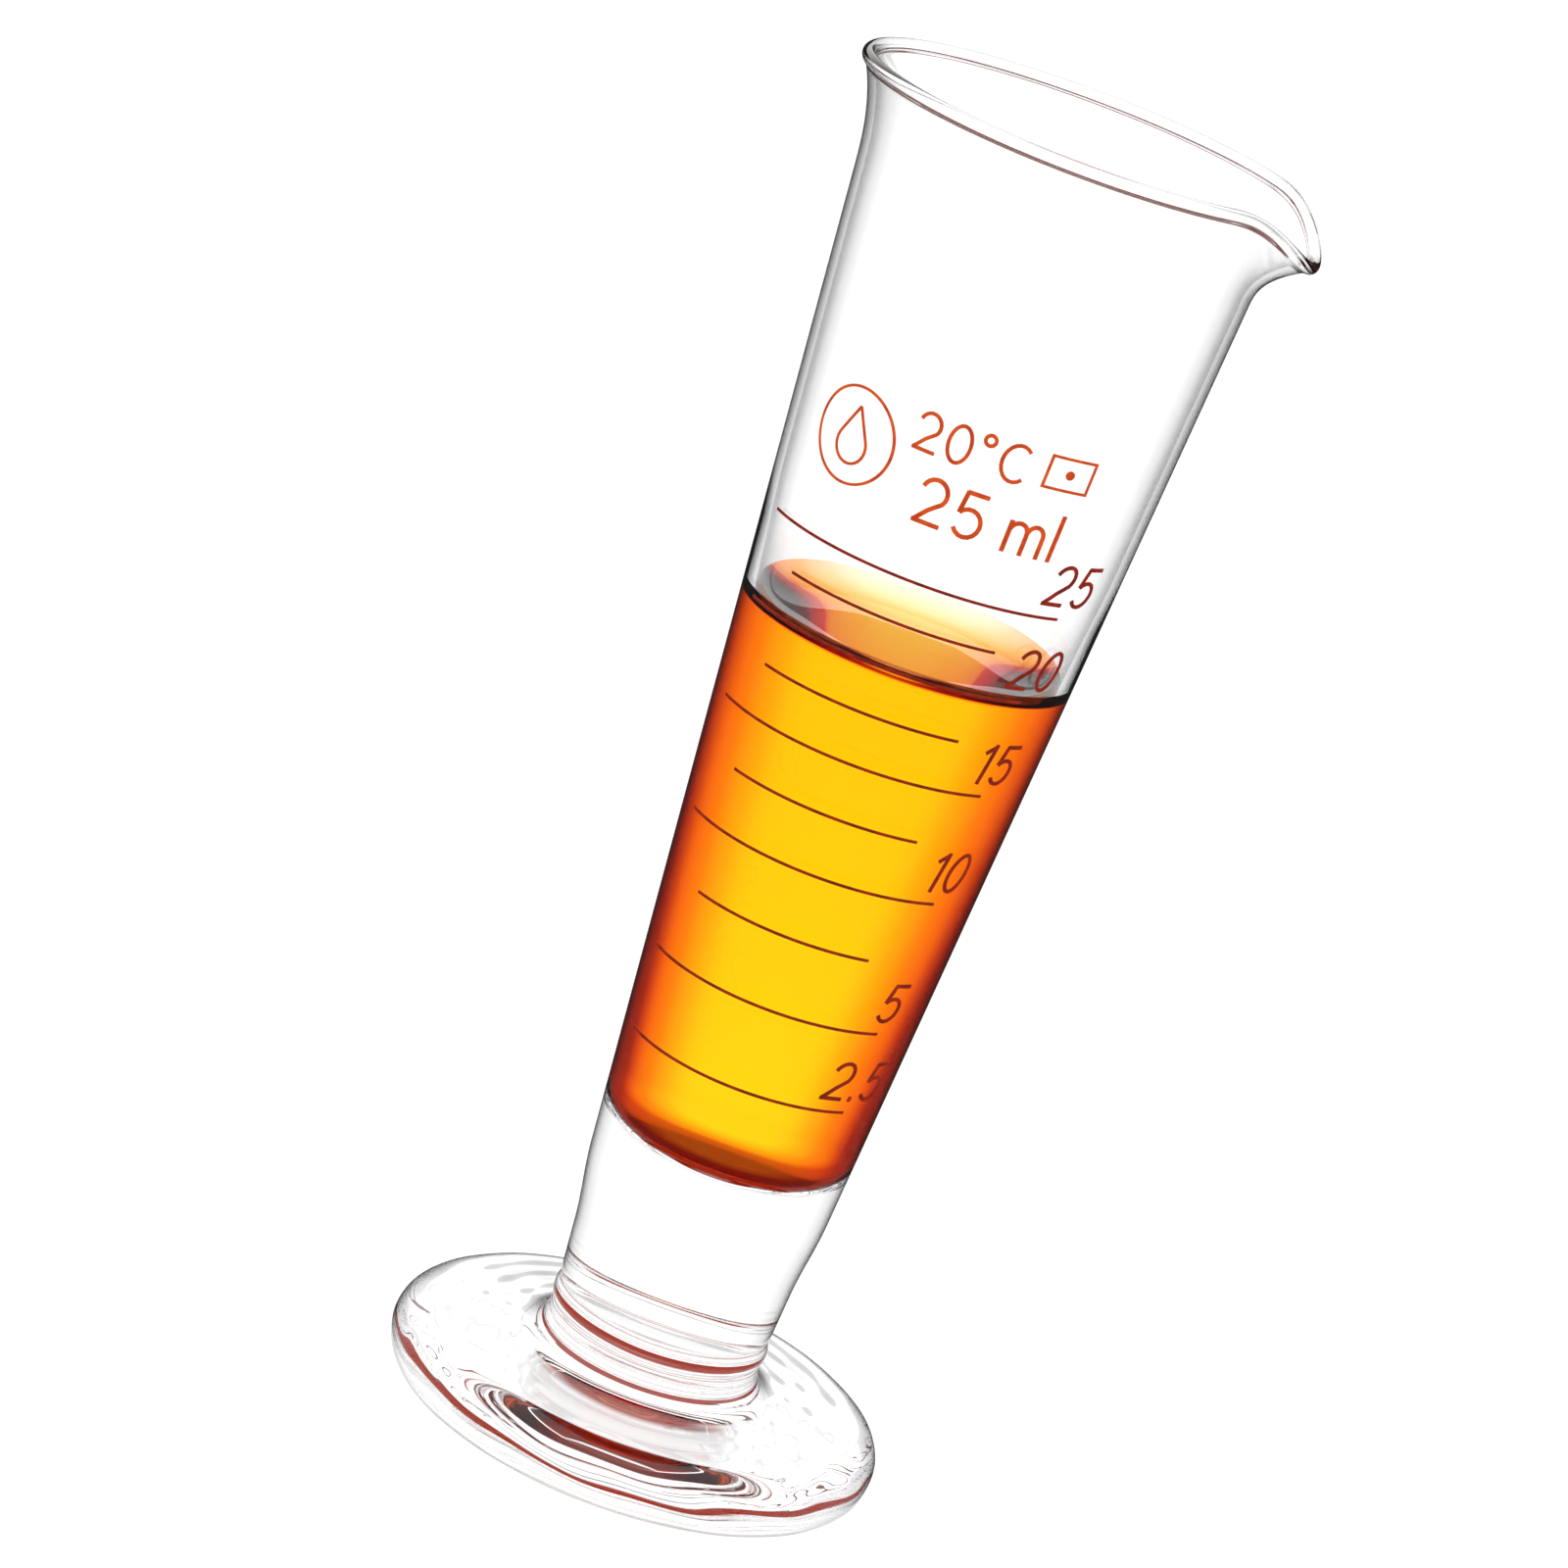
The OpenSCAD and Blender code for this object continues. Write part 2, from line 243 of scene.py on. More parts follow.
def object_noise(nodes, links, scale, detail=2.0, stretch=(1, 1, 1)):
    """Noise in the object's own space; scale is in features per metre."""
    coords = nodes.new("ShaderNodeTexCoord")
    mapping = nodes.new("ShaderNodeMapping")
    mapping.inputs["Scale"].default_value = stretch
    noise = nodes.new("ShaderNodeTexNoise")
    noise.inputs["Scale"].default_value = scale
    noise.inputs["Detail"].default_value = detail
    links.new(coords.outputs["Object"], mapping.inputs["Vector"])
    links.new(mapping.outputs["Vector"], noise.inputs["Vector"])
    return noise


def clear_shader(nodes, ior):
    """Sets the shader of a new material to a clear body with a smooth surface."""
    shader = nodes["Principled BSDF"]
    shader.inputs["Base Color"].default_value = (1, 1, 1, 1)
    shader.inputs["Roughness"].default_value = 0.0
    shader.inputs["IOR"].default_value = ior
    shader.inputs["Transmission Weight"].default_value = 1.0
    return shader


def add_bump(nodes, links, noise, strength, height):
    """Lets noise of a height in metres tilt the surface."""
    bump = nodes.new("ShaderNodeBump")
    bump.inputs["Strength"].default_value = strength
    bump.inputs["Distance"].default_value = height
    links.new(noise.outputs["Fac"], bump.inputs["Height"])
    links.new(bump.outputs["Normal"], nodes["Principled BSDF"].inputs["Normal"])


def fill_ramp(ramp, stops):
    """Puts (place, colour) stops on a colour ramp."""
    ramp.elements[0].position = stops[0][0]
    ramp.elements[1].position = stops[-1][0]
    for place, _colour in stops[1:-1]:
        ramp.elements.new(place)
    for element, (_place, colour) in zip(ramp.elements, stops):
        element.color = (*colour, 1)


def painted_slant_shade(nodes, links, stops):
    """Painted shade: colour from how slantwise light meets the surface; returns both nodes."""
    slant = nodes.new("ShaderNodeLayerWeight")
    painted_shade = nodes.new("ShaderNodeValToRGB")
    fill_ramp(painted_shade.color_ramp, stops)
    links.new(slant.outputs["Facing"], painted_shade.inputs["Fac"])
    return slant, painted_shade


def glass_material(name, ior, wave_scale, wave_height, stretch):
    """Clear glass with the faint waviness of its making, and painted shade that darkens its edges."""
    material, nodes, links = new_material(name)
    shader = clear_shader(nodes, ior)
    add_bump(nodes, links, object_noise(nodes, links, wave_scale, 1.0, stretch), 1.0, wave_height)
    # Painted shade: the glass darkens the more slantwise it is crossed, down to near black at its
    # edges
    _slant, painted_shade = painted_slant_shade(nodes, links, GLASS_PAINTED_SHADE)
    links.new(painted_shade.outputs["Color"], shader.inputs["Base Color"])
    return material


def seam_material():
    """The fused seams inside the glass, which light crosses unchanged."""
    material, nodes, links = new_material("fused_seam")
    nodes.remove(nodes["Principled BSDF"])
    clear = nodes.new("ShaderNodeBsdfTransparent")
    links.new(clear.outputs["BSDF"], nodes["Material Output"].inputs["Surface"])
    return material


def liquid_material():
    """Amber developer: water that absorbs blue strongly and green a little.

    Light bends into the liquid at the wetted glass, so the liquid's sides bend it no further.
    Only its open surface does, which is where the mesh's openness attribute is 1. Its sides carry
    painted shade, orange to deep red the more slantwise they are crossed.
    """
    material, nodes, links = new_material("amber_liquid")
    shader = clear_shader(nodes, LIQUID_IOR)
    openness = nodes.new("ShaderNodeAttribute")
    openness.attribute_name = OPENNESS
    bend = nodes.new("ShaderNodeMapRange")
    bend.inputs["To Min"].default_value = 1.0
    bend.inputs["To Max"].default_value = LIQUID_IOR
    links.new(openness.outputs["Fac"], bend.inputs["Value"])
    links.new(bend.outputs["Result"], shader.inputs["IOR"])
    # Painted shade: the sides turn orange to deep red when crossed slantwise; the open surface gets
    # none
    slant, painted_shade = painted_slant_shade(nodes, links, LIQUID_PAINTED_SHADE)
    side_slant = nodes.new("ShaderNodeMix")
    side_slant.inputs["B"].default_value = 0.0
    links.new(openness.outputs["Fac"], side_slant.inputs["Factor"])
    links.new(slant.outputs["Facing"], side_slant.inputs["A"])
    links.new(side_slant.outputs["Result"], painted_shade.inputs["Fac"])
    links.new(painted_shade.outputs["Color"], shader.inputs["Base Color"])
    absorb = nodes.new("ShaderNodeVolumeAbsorption")
    absorb.inputs["Color"].default_value = LIQUID_COLOUR
    absorb.inputs["Density"].default_value = LIQUID_DENSITY
    links.new(absorb.outputs["Volume"], nodes["Material Output"].inputs["Volume"])
    return material


def enamel_material(name, colour, dark):
    """Fired enamel print: satin, a little uneven in cover."""
    material, nodes, links = new_material(name)
    shader = nodes["Principled BSDF"]
    noise = object_noise(nodes, links, COVER_SCALE, 3.0)
    ramp = nodes.new("ShaderNodeValToRGB")
    fill_ramp(ramp.color_ramp, ((0.35, dark), (0.62, colour)))
    links.new(noise.outputs["Fac"], ramp.inputs["Fac"])
    links.new(ramp.outputs["Color"], shader.inputs["Base Color"])
    shader.inputs["Roughness"].default_value = 0.45
    shader.inputs["Specular IOR Level"].default_value = 0.12
    grain = object_noise(nodes, links, GRAIN_SCALE, 2.0)
    add_bump(nodes, links, grain, GRAIN_STRENGTH, GRAIN_HEIGHT)
    return material


CLEAR_GLASS = glass_material("blown_glass", GLASS_IOR, *BLOWN_WAVES)
WETTED_GLASS = glass_material("wetted_glass", GLASS_IOR / LIQUID_IOR, *BLOWN_WAVES)
PRESSED_GLASS = glass_material("pressed_foot_glass", GLASS_IOR, *PRESSED_WAVES)
SEAM = seam_material()
LIQUID = liquid_material()
# Material slots of the glass pieces
GLASS, FUSED, WETTED = 0, 1, 2

# ---- Vessel ----


def vessel_piece():
    """The blown cone with its solid base, fused to the lip above and the stem joint below."""
    low_z = BASE_Z + SEAM_ROUND_R
    base_r = neck_r(BASE_Z)
    corner_z = FLOOR_Z + FLOOR_CORNER_R
    contact_z = LIQUID_Z + MENISCUS_CLIMB
    inner_r = cavity_r(corner_z) - FLOOR_CORNER_R
    profile = [(0.0, BASE_Z)]
    profile += arc(base_r - SEAM_ROUND_R, low_z, SEAM_ROUND_R, SEAM_ROUND_R, -90, 0, 8)
    neck_steps = 24
    for i in range(1, neck_steps):
        z = low_z + (NECK_TOP_Z - low_z) * i / neck_steps
        profile.append((neck_r(z), z))
    profile += line((wall_r(NECK_TOP_Z), NECK_TOP_Z), (wall_r(LIP_Z), LIP_Z), 40)
    profile.append((wall_r(LIP_Z), LIP_Z))
    lip_row = len(profile) - 1
    profile += line((cavity_r(LIP_Z), LIP_Z), (cavity_r(THIN_Z), THIN_Z), 12)
    profile += line((cavity_r(THIN_Z), THIN_Z), (cavity_r(contact_z), contact_z), 4)
    wetted_row = len(profile)
    profile += line((cavity_r(contact_z), contact_z), (cavity_r(corner_z), corner_z), 20)
    profile += arc(inner_r, corner_z, FLOOR_CORNER_R, FLOOR_CORNER_R, 0, -90, 20)
    profile.append((0.0, FLOOR_Z))

    def slot_of_row(row):
        if row in (0, lip_row):
            return FUSED
        return WETTED if row >= wetted_row else GLASS

    rings = [turned_ring(r, z) for r, z in profile]
    piece = make_piece("vessel_glass", rings, [CLEAR_GLASS, SEAM, WETTED_GLASS], slot_of_row)
    crease_seams(piece)
    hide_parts("vessel")
    return piece


def crease_seams(piece):
    """Keeps the edges of the fused seams sharp, so that smooth shading stays on the glass."""
    mesh = piece.data
    fused_at = {}
    sharp = [False] * len(mesh.edges)
    index = {tuple(sorted(e.vertices)): e.index for e in mesh.edges}
    for polygon in mesh.polygons:
        fused = polygon.material_index == FUSED
        for key in polygon.edge_keys:
            edge = index[tuple(sorted(key))]
            if fused_at.setdefault(edge, fused) != fused:
                sharp[edge] = True
    mesh.attributes.new("sharp_edge", "BOOLEAN", "EDGE")
    mesh.attributes["sharp_edge"].data.foreach_set("value", sharp)
    mesh.update()


# ---- Lip ----


def spout_share(a):
    """1 at the spout's tip, 0 on the round rim; a is in degrees."""
    if abs(a) >= SPOUT_HALF_A:
        return 0.0
    return math.cos(math.radians(90 * a / SPOUT_HALF_A)) ** SPOUT_POINT


def lip_middle(a, s):
    """Middle of the lip's wall as radius and height; s runs from 0 at the vessel to 1 at the rim."""
    share = spout_share(a)
    dip = RIM_DIP * (1 + math.cos(math.radians(a))) / 2
    top_z = RIM_Z - BEAD_R - dip - SPOUT_DROP * share**SPOUT_DROP_POWER
    z = LIP_Z + (top_z - LIP_Z) * s
    straight_r = wall_r(z) - WALL_TOP / 2
    flare = RIM_R - BEAD_R - (wall_r(RIM_Z - BEAD_R) - WALL_TOP / 2) + SPOUT_REACH * share
    return Vector((straight_r + flare * max(s, 0.0) ** FLARE_POWER, z))


def lip_frame(a, s):
    """Directions along the lip's wall and out of it."""
    along = (lip_middle(a, s) - lip_middle(a, s - 0.01)).normalized()
    return along, Vector((along.y, -along.x))


def lip_section(a):
    """Closed section of the lip at an angle, outside first."""
    points = []
    for i in range(LIP_WALL_STEPS + 1):
        s = LIP_WALL_END * i / LIP_WALL_STEPS
        out = Vector((1, 0)) if i == 0 else lip_frame(a, s)[1]
        points.append(lip_middle(a, s) + WALL_TOP / 2 * out)
    along, out = lip_frame(a, 1.0)
    for i in range(LIP_BEAD_STEPS + 1):
        b = math.radians(BEAD_COVER_A * (1 - 2 * i / LIP_BEAD_STEPS))
        points.append(lip_middle(a, 1.0) + BEAD_R * (math.cos(b) * along + math.sin(b) * out))
    for i in range(LIP_WALL_STEPS, -1, -1):
        s = LIP_WALL_END * i / LIP_WALL_STEPS
        out = Vector((1, 0)) if i == 0 else lip_frame(a, s)[1]
        points.append(lip_middle(a, s) - WALL_TOP / 2 * out)
    return points


def lip_piece():
    """The flared rim with its bead and spout."""
    sections = []
    for i in range(TURN_STEPS):
        a = 360 * i / TURN_STEPS
        turn = a - 360 if a > 180 else a
        ca, sa = math.cos(math.radians(a)), math.sin(math.radians(a))
        sections.append([(p.x * ca, p.x * sa, p.y) for p in lip_section(turn)])
    count = len(sections[0])
    rings = [[section[j] for section in sections] for j in range(count)]
    piece = make_piece(
        "pouring_lip_glass",
        rings,
        [CLEAR_GLASS, SEAM],
        lambda row: FUSED if row == count - 1 else GLASS,
        closed=True,
    )
    crease_seams(piece)
    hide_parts("pouring_lip")
    return piece


# ---- Stem joint and foot ----


def seam_disc_r():
    """Radius of the fused discs between base, stem joint and foot."""
    return neck_r(BASE_Z) - SEAM_ROUND_R


def stem_joint_piece():
    """The bulging fused seam between base and foot."""
    half_h = (BASE_Z - HUB_Z) / 2
    disc_r = seam_disc_r()
    bulge_r = SEAM_ROUND_R + JOINT_BULGE
    profile = [(0.0, HUB_Z)]
    profile += arc(disc_r, HUB_Z + half_h, bulge_r, half_h, -90, 90, 24)
    profile.append((0.0, BASE_Z))
    last = len(profile) - 2
    piece = make_piece(
        "stem_joint_glass",
        [turned_ring(r, z) for r, z in profile],
        [PRESSED_GLASS, SEAM],
        lambda row: FUSED if row in (0, last) else GLASS,
    )
    crease_seams(piece)
    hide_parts("stem_joint")
    return piece


# The underside stays flat up to this height, and the hub out to a little beyond its radius
WAVE_LOW_Z = 0.4
WAVE_START_R = HUB_R + 0.6
WAVE_FADE = 3.0
SIDE_START_R = 17.5
RING_PERIOD = 2.4
# Heights of the rings and chill marks where the pressing is smooth, and what is added elsewhere
RING_WAVE, RING_UNEVEN = 0.008, 0.03
CHILL_WAVE, CHILL_UNEVEN = 0.006, 0.06
DENT_DEPTH = 0.05


def pressed_wave(x, y, z):
    """The foot's faint pressed rings and chill marks, as an outward and an upward change."""
    r = math.hypot(x, y)
    a = math.atan2(y, x)
    if z < WAVE_LOW_Z or r < WAVE_START_R:
        return 0.0, 0.0
    edge = ease((r - WAVE_START_R) / WAVE_FADE)
    # The pressing is smooth in front and behind, and rougher towards the spout and away from it
    uneven = math.cos(a) ** 4
    ring_h = RING_WAVE + RING_UNEVEN * uneven
    chill_h = CHILL_WAVE + CHILL_UNEVEN * uneven
    rings = ring_h * math.sin(2 * math.pi * r / RING_PERIOD + 0.8 * math.sin(2 * a + 0.6))
    chill = chill_h * math.sin(11 * a + 0.9 * r) * math.sin(7 * a - 0.5 * r + 1.0)
    side = ease((r - SIDE_START_R) / WAVE_FADE)
    dents = DENT_DEPTH * side * math.sin(9 * a + 1.3 * z) * math.sin(4 * a + 2.0)
    return dents, edge * (rings + chill) * (1 - 0.5 * side)


def foot_piece():
    """The pressed foot, from the middle of its underside out and up to the stem joint."""
    hollow_r = (RING_IN_R**2 + RECESS_H**2) / (2 * RECESS_H)
    hollow_a = math.degrees(math.asin(RING_IN_R / hollow_r))
    upper_r = FOOT_EDGE_H - FOOT_EDGE_Z
    disc_r = seam_disc_r()
    seam_z = HUB_Z - SEAM_ROUND_R
    profile = arc(0.0, RECESS_H - hollow_r, hollow_r, hollow_r, 90, 90 - hollow_a, 26)
    profile[0] = (0.0, RECESS_H)
    profile += line((RING_IN_R, 0.0), (RING_OUT_R, 0.0), 6)[1:]
    profile += arc(RING_OUT_R, FOOT_EDGE_Z, FOOT_R - RING_OUT_R, FOOT_EDGE_Z, -90, 0, 18)
    profile += arc(FOOT_R - upper_r, FOOT_EDGE_Z, upper_r, upper_r, 6, 90, 18)
    profile += line((FOOT_R - upper_r, FOOT_EDGE_H), (FILLET_R, FOOT_TOP_Z), 24)[1:]
    profile += arc(FILLET_R, seam_z, FILLET_R - HUB_R, seam_z - FOOT_TOP_Z, 270, 180, 22)
    profile += arc(disc_r, seam_z, HUB_R - disc_r, SEAM_ROUND_R, 0, 90, 6)[1:]
    profile.append((0.0, HUB_Z))
    last = len(profile) - 2
    piece = make_piece(
        "foot_glass",
        [turned_ring(r, z, pressed_wave) for r, z in profile],
        [PRESSED_GLASS, SEAM],
        lambda row: FUSED if row == last else GLASS,
    )
    crease_seams(piece)
    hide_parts("foot")
    return piece


# ---- Liquid ----


def liquid_piece():
    """Amber developer up to just below the 20 ml line, with its meniscus."""
    corner_z = FLOOR_Z + FLOOR_CORNER_R
    inner_r = cavity_r(corner_z) - FLOOR_CORNER_R
    round_r = FLOOR_CORNER_R - LIQUID_GAP
    contact_z = LIQUID_Z + MENISCUS_CLIMB
    edge_r = cavity_r(contact_z) - LIQUID_GAP
    profile = [(0.0, FLOOR_Z + LIQUID_GAP)]
    profile += arc(inner_r, corner_z, round_r, round_r, -90, 0, 20)
    profile += line((cavity_r(corner_z) - LIQUID_GAP, corner_z), (edge_r, contact_z), 36)[1:]
    surface_row = len(profile)
    steps = 36
    for i in range(steps + 1):
        inward = edge_r * (i / steps) ** MENISCUS_CROWDING
        climb = MENISCUS_CLIMB * math.exp(-inward / MENISCUS_REACH)
        profile.append((edge_r - inward, LIQUID_Z + climb))
    rings = [turned_ring(r, z) for r, z in profile]
    piece = make_piece("amber_liquid", rings, [LIQUID])
    sharpen(piece, 40)
    faces_before = surface_row * TURN_STEPS
    openness = piece.data.attributes.new(OPENNESS, "FLOAT", "FACE")
    count = len(piece.data.polygons)
    openness.data.foreach_set("value", [0.0] * faces_before + [1.0] * (count - faces_before))
    return piece


def sharpen(piece, degrees):
    """Keeps edges sharper than an angle crisp."""
    piece.data.set_sharp_from_angle(angle=math.radians(degrees))


# ---- Enamel ----

GLASS_NODES = ("vessel", "pouring_lip", "stem_joint", "foot")
# Full and thin cover of each kind of print
ENAMEL = {
    "grad_line": enamel_material("scale_enamel", (0.27, 0.014, 0.002), (0.15, 0.008, 0.002)),
    "numeral": enamel_material("numeral_enamel", (0.28, 0.014, 0.002), (0.16, 0.009, 0.002)),
    "other": enamel_material("inscription_enamel", (0.60, 0.075, 0.004), (0.44, 0.042, 0.003)),
}


def paint_enamel():
    """Puts the enamels on the CAD's own lines, numerals and marks."""
    for name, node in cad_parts.items():
        if name in GLASS_NODES:
            continue
        kind = next((k for k in ("grad_line", "numeral") if name.startswith(k)), "other")
        node.data.materials.clear()
        node.data.materials.append(ENAMEL[kind])


# ---- Stage ----

# Point attribute that holds a card's tones
TONE = "tone"
WHITE = 1.28
FLOOR_ALBEDO = 0.90
FLOOR_REACH = 3.0
# The floor lies this little below the foot, so that the two faces stay apart
FLOOR_GAP = 0.00005
# The lowest cards lie this little above the floor, and one card this much above another
CARD_GAP = 0.0003
CARD_STEP = 0.0001
UNDER_GAP = 0.00004
# Tones
DARK = (0.03, 0.03, 0.03)
GREY = (0.16, 0.155, 0.15)
PALE = (1.2, 1.2, 1.2)
RED = (0.36, 0.03, 0.012)
DEEP_RED = (0.17, 0.02, 0.01)
BROWN = (0.16, 0.03, 0.014)
# Inner and outer radii of the level cards, in metres
MIRROR_R = (0.024, 0.9)
ROOF_R = (0.022, 0.060)
UNDER_R = (0.0035, 0.0095)
AROUND_R = (0.0228, 0.028)
BACK_R = (0.0228, 0.034)
# Heights, and distances of the standing bands
MIRROR_H = 0.25
ROOF_Z = 0.137
RIM_BAND_R = 0.10
RIM_BAND_Z = (0.132, 0.20)
SURFACE_BAND_R = 1.0
SURFACE_BAND_Z = (0.31, 0.355)
SURFACE_BAND_45_Z = (0.505, 0.56)
# Azimuths between which a card lies
ALL_ROUND = (0, 360)
BEHIND_FRONT = (140, 240)
BEHIND_45 = (205, 245)
# A card's rows are about this many degrees apart
CARD_STEP_A = 6
CARD_COLUMNS = 16
# Kinds of ray that see a piece of the stage
RAY_KINDS = ("camera", "diffuse", "glossy", "transmission", "shadow")
THROUGH_GLASS = ("transmission",)
MIRRORED = ("glossy",)
MOST_BOUNCES = 40


def glow_material():
    """Cards only glow, in the tones that their corners hold."""
    material, nodes, links = new_material("glowing_card")
    nodes.remove(nodes["Principled BSDF"])
    tone = nodes.new("ShaderNodeAttribute")
    tone.attribute_name = TONE
    glow = nodes.new("ShaderNodeEmission")
    links.new(tone.outputs["Color"], glow.inputs["Color"])
    links.new(glow.outputs["Emission"], nodes["Material Output"].inputs["Surface"])
    return material


def stage_mesh(name, verts, faces, material, seen_by, tones=None):
    """A piece of the stage that only the named kinds of ray see."""
    mesh = bpy.data.meshes.new(name)
    mesh.from_pydata(verts, [], faces)
    mesh.materials.append(material)
    if tones:
        attribute = mesh.color_attributes.new(TONE, "FLOAT_COLOR", "POINT")
        attribute.data.foreach_set("color", [c for tone in tones for c in (*tone, 1.0)])
    piece = bpy.data.objects.new(name, mesh)
    bpy.context.scene.collection.objects.link(piece)
    for kind in RAY_KINDS:
        setattr(piece, f"visible_{kind}", kind in seen_by)
    return piece


def grid(rows, columns, place, tone):
    """Corners, faces and tones of a sheet. place and tone take two shares from 0 to 1."""
    shares = [(i / columns, j / rows) for j in range(rows + 1) for i in range(columns + 1)]
    width = columns + 1
    faces = [
        (j * width + i, j * width + i + 1, (j + 1) * width + i + 1, (j + 1) * width + i)
        for j in range(rows)
        for i in range(columns)
    ]
    return [place(u, v) for u, v in shares], faces, [tone(u, v) for u, v in shares]


def blend_tones(stops, share):
    """Tone at a share of the way through a list of (share, tone)."""
    for (low, first), (high, second) in zip(stops, stops[1:]):
        if share <= high:
            t = min(max((share - low) / (high - low), 0.0), 1.0)
            return tuple(a + (b - a) * t for a, b in zip(first, second))
    return stops[-1][1]


def direction(azimuth):
    """Level direction in which an azimuth lies, seen from the object."""
    a = math.radians(azimuth)
    return math.sin(a), -math.cos(a)


def card_rows(azimuths):
    """Number of rows of a card between two azimuths."""
    return max(4, round(abs(azimuths[1] - azimuths[0]) / CARD_STEP_A))


def level_card(name, azimuths, radii, height, stops, seen_by):
    """A level piece of ring around the object, whose tones run outwards."""
    def place(u, v):
        x, y = direction(azimuths[0] + (azimuths[1] - azimuths[0]) * v)
        r = radii[0] + (radii[1] - radii[0]) * u
        return (r * x, r * y, height)

    verts, faces, tones = grid(
        card_rows(azimuths), CARD_COLUMNS, place, lambda u, v: blend_tones(stops, u)
    )
    return stage_mesh(name, verts, faces, GLOW, seen_by, tones)


def band(name, azimuths, distance, heights, tone, seen_by):
    """A plain band of card standing round the object between two azimuths."""
    def place(u, v):
        x, y = direction(azimuths[0] + (azimuths[1] - azimuths[0]) * v)
        return (distance * x, distance * y, heights[0] + (heights[1] - heights[0]) * u)

    verts, faces, tones = grid(card_rows(azimuths), 1, place, lambda u, v: tone)
    return stage_mesh(name, verts, faces, GLOW, seen_by, tones)


def floor_material():
    """A plain pale floor with no shine."""
    material, nodes, _links = new_material("pale_floor")
    shader = nodes["Principled BSDF"]
    shader.inputs["Base Color"].default_value = (FLOOR_ALBEDO, FLOOR_ALBEDO, FLOOR_ALBEDO, 1)
    shader.inputs["Roughness"].default_value = 0.8
    shader.inputs["Specular IOR Level"].default_value = 0.0
    return material


GLOW = glow_material()


def build_cards():
    """Cards that only mirrored light or light through the glass meets."""
    # What the outside of the glass mirrors is dark, so that colours stay deep and edges show
    level_card("mirrored_floor", ALL_ROUND, MIRROR_R, CARD_GAP, [(0.0, DARK), (1.0, DARK)], MIRRORED)
    band("mirrored_wall", ALL_ROUND, MIRROR_R[1], (CARD_GAP, MIRROR_H), DARK, MIRRORED)
    # Seen by the rim, and from below through the liquid
    roof = [(0.0, PALE), (0.2, BROWN), (0.8, BROWN), (1.0, PALE)]
    level_card("roof_card", ALL_ROUND, ROOF_R, ROOF_Z, roof, THROUGH_GLASS)
    # Mirrored by the liquid's open surface, for a lower and for a higher camera
    band("surface_band", ALL_ROUND, SURFACE_BAND_R, SURFACE_BAND_Z, BROWN, THROUGH_GLASS)
    band("surface_band_45", BEHIND_45, SURFACE_BAND_R, SURFACE_BAND_45_Z, BROWN, THROUGH_GLASS)
    # Seen by the rim, and from the foot up through the neck
    band("rim_band", ALL_ROUND, RIM_BAND_R, RIM_BAND_Z, DEEP_RED, THROUGH_GLASS)
    # Under and round the foot, where the glass gathers the liquid's colour
    under = [(0.0, PALE), (0.2, RED), (0.75, RED), (1.0, PALE)]
    level_card("under_card", ALL_ROUND, UNDER_R, UNDER_GAP, under, THROUGH_GLASS)
    around = [(0.0, GREY), (0.5, DARK), (1.0, PALE)]
    level_card("foot_card", ALL_ROUND, AROUND_R, CARD_GAP, around, THROUGH_GLASS)
    behind = [(0.0, RED), (0.7, RED), (1.0, PALE)]
    level_card("back_card", BEHIND_FRONT, BACK_R, CARD_GAP + CARD_STEP, behind, THROUGH_GLASS)


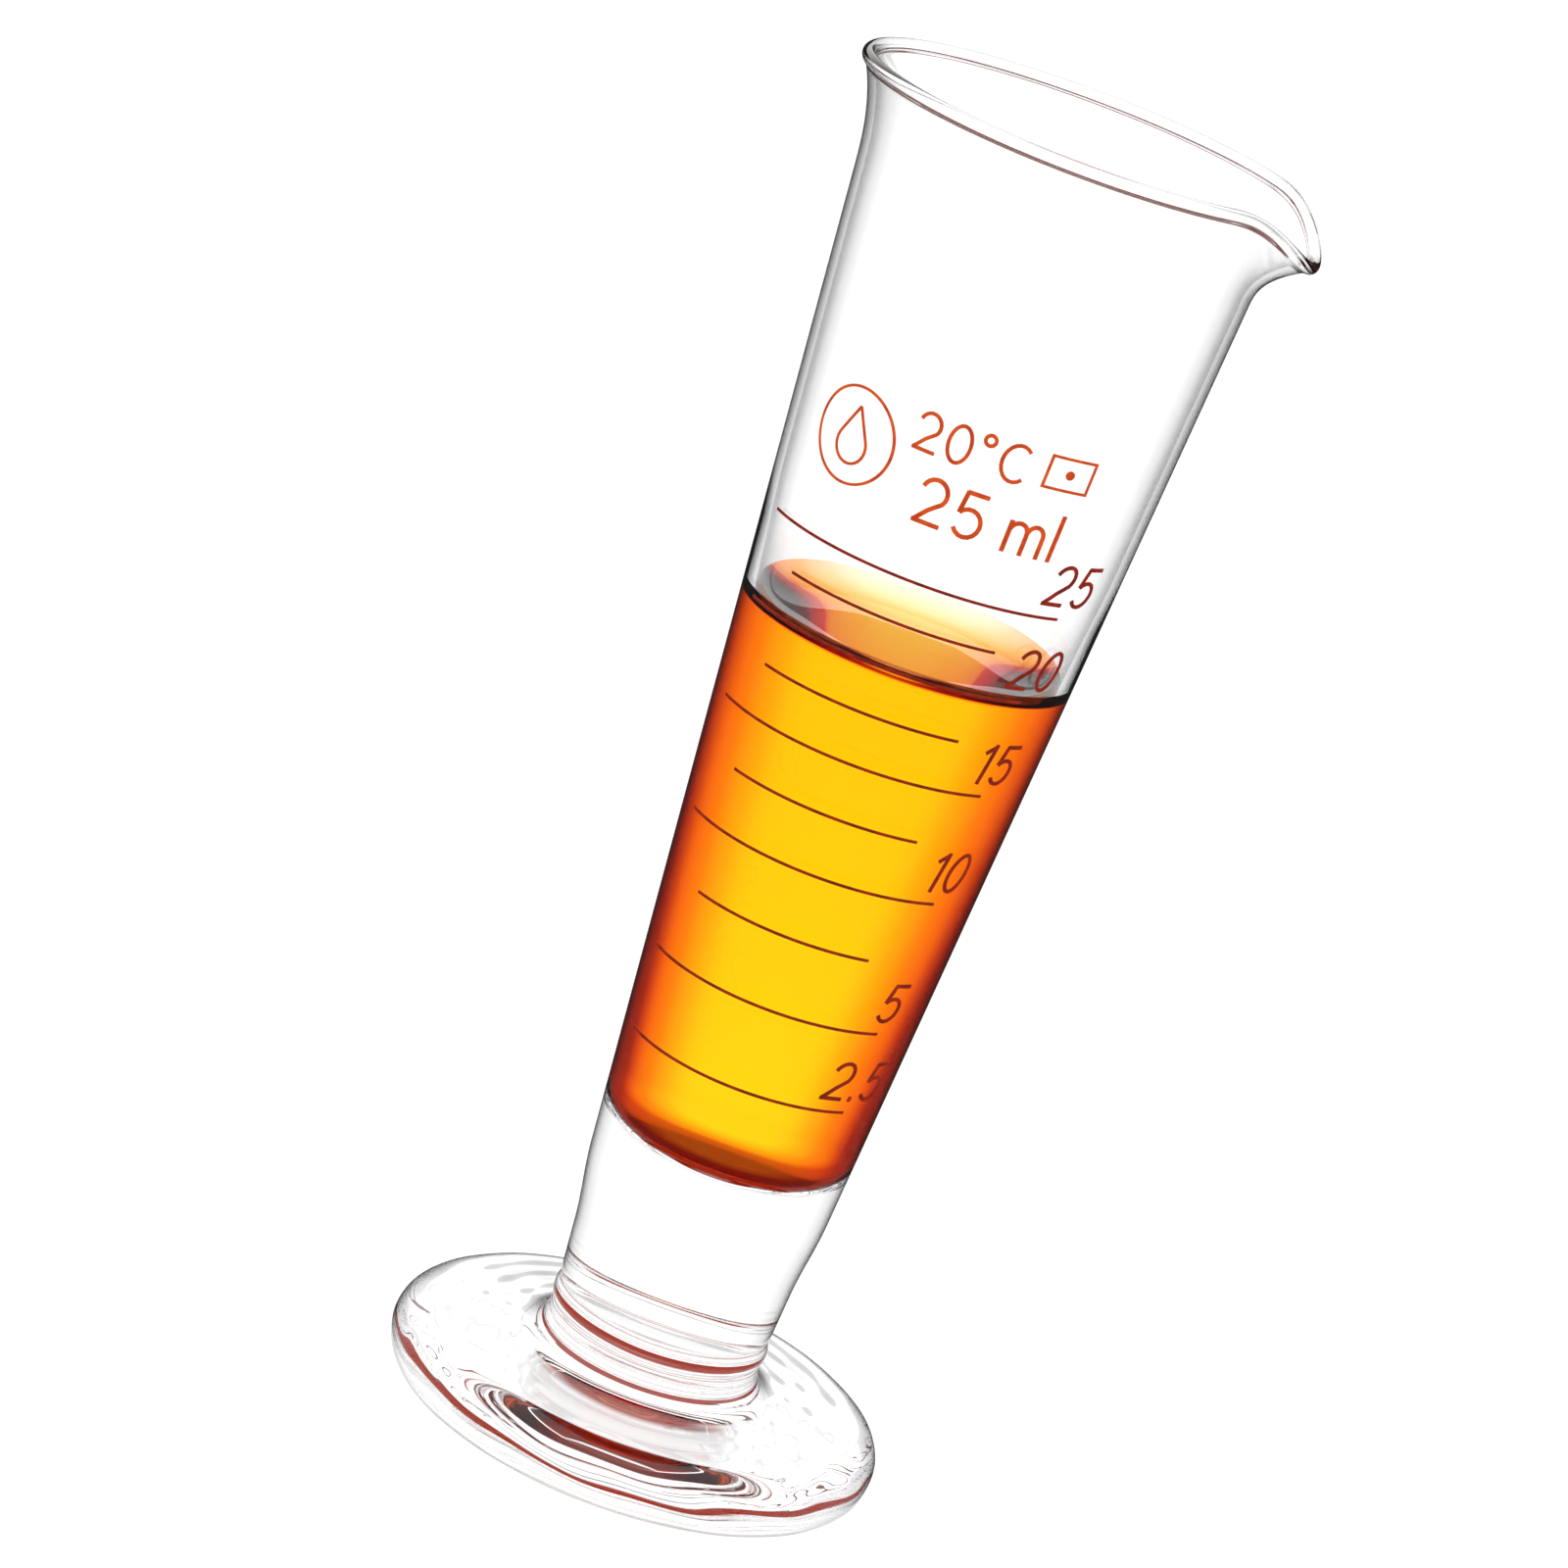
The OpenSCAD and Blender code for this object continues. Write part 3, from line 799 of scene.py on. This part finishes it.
def build_stage():
    """Floor, even white light all round, and the cards."""
    corners = ((-1, -1), (1, -1), (1, 1), (-1, 1))
    square = [(x * FLOOR_REACH, y * FLOOR_REACH, -FLOOR_GAP) for x, y in corners]
    stage_mesh("floor", square, [(0, 1, 2, 3)], floor_material(), RAY_KINDS)
    world = bpy.data.worlds.new("studio")
    bpy.context.scene.world = world
    world.use_nodes = True
    background = world.node_tree.nodes["Background"]
    background.inputs["Color"].default_value = (1, 1, 1, 1)
    background.inputs["Strength"].default_value = WHITE
    build_cards()
    scene = bpy.context.scene
    scene.view_settings.view_transform = "Standard"
    # Light goes back and forth many times inside the foot and the liquid
    scene.cycles.max_bounces = MOST_BOUNCES
    scene.cycles.transmission_bounces = MOST_BOUNCES
    scene.cycles.glossy_bounces = MOST_BOUNCES
    scene.cycles.transparent_max_bounces = MOST_BOUNCES


# ---- Camera ----

CAMERA_AZIMUTH = 8.2
CAMERA_DISTANCE = 0.4857
CAMERA_HEIGHT = 0.1974
CAMERA_LENS = 135.0
SENSOR_WIDTH = 36.0
CAMERA_CLIP = (0.01, 20.0)
LOOK_DOWN = 15.76
LOOK_ASIDE = -0.66
ROLL = -19.70


def build_camera():
    """A long lens, looking down on the front, turned so that the glass leans to the right."""
    down, aside, roll = (math.radians(v) for v in (LOOK_DOWN, LOOK_ASIDE, ROLL))
    level = math.cos(down)
    forward = Vector((math.sin(aside) * level, math.cos(aside) * level, -math.sin(down)))
    right = Vector((math.cos(aside), -math.sin(aside), 0))
    below = forward.cross(right)
    right_rolled = right * math.cos(roll) + below * math.sin(roll)
    below_rolled = below * math.cos(roll) - right * math.sin(roll)
    turn = Matrix.Rotation(math.radians(CAMERA_AZIMUTH), 4, "Z")
    pose = Matrix.Identity(4)
    for i, axis in enumerate((right_rolled, -below_rolled, -forward)):
        for j in range(3):
            pose[j][i] = axis[j]
    pose.translation = (0, -CAMERA_DISTANCE, CAMERA_HEIGHT)
    data = bpy.data.cameras.new("camera")
    data.lens = CAMERA_LENS
    data.sensor_width = SENSOR_WIDTH
    data.clip_start, data.clip_end = CAMERA_CLIP
    camera = bpy.data.objects.new("camera", data)
    camera.matrix_world = turn @ pose
    bpy.context.scene.collection.objects.link(camera)
    bpy.context.scene.camera = camera


build_camera()
build_stage()
glass_pieces = [vessel_piece(), lip_piece(), stem_joint_piece(), foot_piece()]
liquid = liquid_piece()
paint_enamel()
# Light reaches the floor as if the glass were not there, which keeps it plain and pale
for piece in [*glass_pieces, liquid]:
    piece.visible_shadow = False
    piece.visible_diffuse = False
